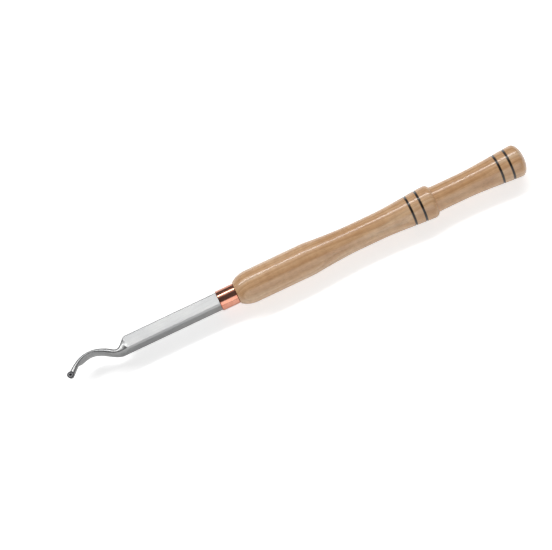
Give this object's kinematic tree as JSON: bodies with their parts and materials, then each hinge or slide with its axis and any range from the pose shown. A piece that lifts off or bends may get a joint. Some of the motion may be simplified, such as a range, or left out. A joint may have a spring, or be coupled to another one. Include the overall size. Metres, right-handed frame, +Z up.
{
  "type": "hollowing tool",
  "caption": "Woodturning hollowing tool: square steel bar with a hooked neck, round carbide insert on its tip, turned maple handle with copper ferrule.",
  "frame": {"origin": "middle of the bar's flat underside, halfway between the neck's shoulder and the ferrule, where the bar slides on the lathe's tool rest", "axes": "+X along the bar towards the handle's butt (the insert is at -X), +Z up with the insert's cutting face up and the bar's flat underside facing -Z, +Y to the outside of the hook"},
  "size_m": [0.6417, 0.0438, 0.0438],
  "materials": {
    "stainless_bar": "satin",
    "carbide": "satin",
    "screw_steel": "satin",
    "copper": "polished",
    "lacquered_maple": "gloss",
    "adhesive": "matte"
  },
  "bodies": {
    "tool": {"tool_bar": "stainless_bar", "ferrule": "copper", "handle": "lacquered_maple", "tang_adhesive": "adhesive"},
    "insert": {"cutter": "carbide"},
    "screw": {"cutter_screw": "screw_steel"}
  },
  "joints": [
    {"name": "cutter_index", "type": "hinge", "parent": "tool", "child": "insert", "pos_m": [-0.1451, -0.0085, 0.0163], "axis": [0, 0, 1], "continuous": true},
    {"name": "screw_turn", "type": "hinge", "parent": "tool", "child": "screw", "pos_m": [-0.1451, -0.0085, 0.0163], "axis": [0, 0, 1], "continuous": true}
  ]
}
